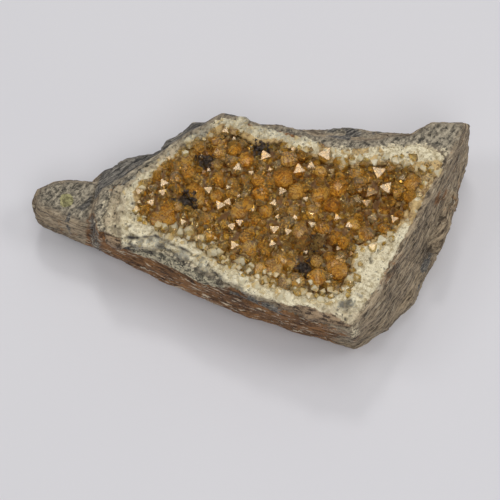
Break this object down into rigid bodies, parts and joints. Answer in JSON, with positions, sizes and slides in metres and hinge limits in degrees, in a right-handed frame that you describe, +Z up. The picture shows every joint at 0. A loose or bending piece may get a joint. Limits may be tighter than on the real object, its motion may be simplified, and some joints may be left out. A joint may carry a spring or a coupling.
{
  "type": "fluorite crystal specimen on wall rock",
  "caption": "Hand specimen lying on its flat underside: a crust of amber see-through crystals in a shallow hollow of a pale granular vein, on a block of foliated wall rock.",
  "frame": {"origin": "on the flat underside that the specimen rests on, below the middle of the block", "axes": "+X along the specimen to its right end, away from the knob; +Y away from the viewer; +Z up, out of the crystal face"},
  "size_m": [0.0693, 0.0372, 0.018],
  "materials": {
    "wall_rock": "rough broken foliated rock, grey-brown with dark and rusty beds",
    "vein_crust": "sugary granular, cream to grey-white",
    "fluorite": "clear honey to amber crystals with bright flat faces"
  },
  "bodies": {
    "root": {"wall_rock": "wall_rock", "vein_crust": "vein_crust", "fluorite_druse": "fluorite"}
  },
  "joints": []
}
